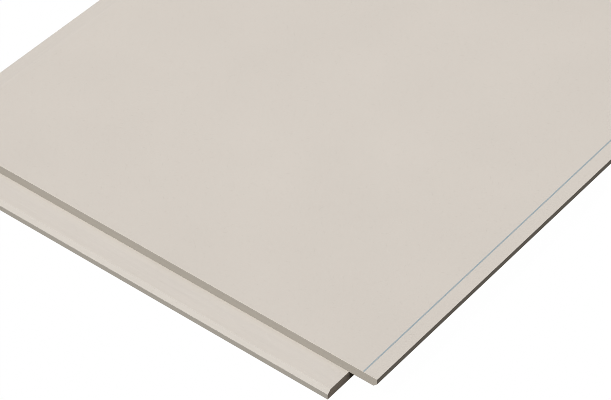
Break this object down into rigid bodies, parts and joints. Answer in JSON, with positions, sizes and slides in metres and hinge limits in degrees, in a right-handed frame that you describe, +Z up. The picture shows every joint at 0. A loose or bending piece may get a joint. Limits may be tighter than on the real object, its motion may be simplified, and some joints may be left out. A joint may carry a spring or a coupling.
{
  "type": "dry screed board",
  "caption": "Gypsum-fibre dry screed board with a stepped lap milled round all its sides, laid dry and glued to its neighbours to make a floating floor.",
  "frame": {"origin": "middle of the underside of the whole outline, both tongues included", "axes": "+Y along the board, +Z up through its thickness, +X across it towards the long side whose upper tongue carries the printed line"},
  "size_m": [0.635, 1.235, 0.023],
  "materials": {
    "gypsum_fibre": "matt, sanded face, milled edges, one printed fixing line"
  },
  "bodies": {
    "root": {"screed_board": "gypsum_fibre"}
  },
  "joints": []
}
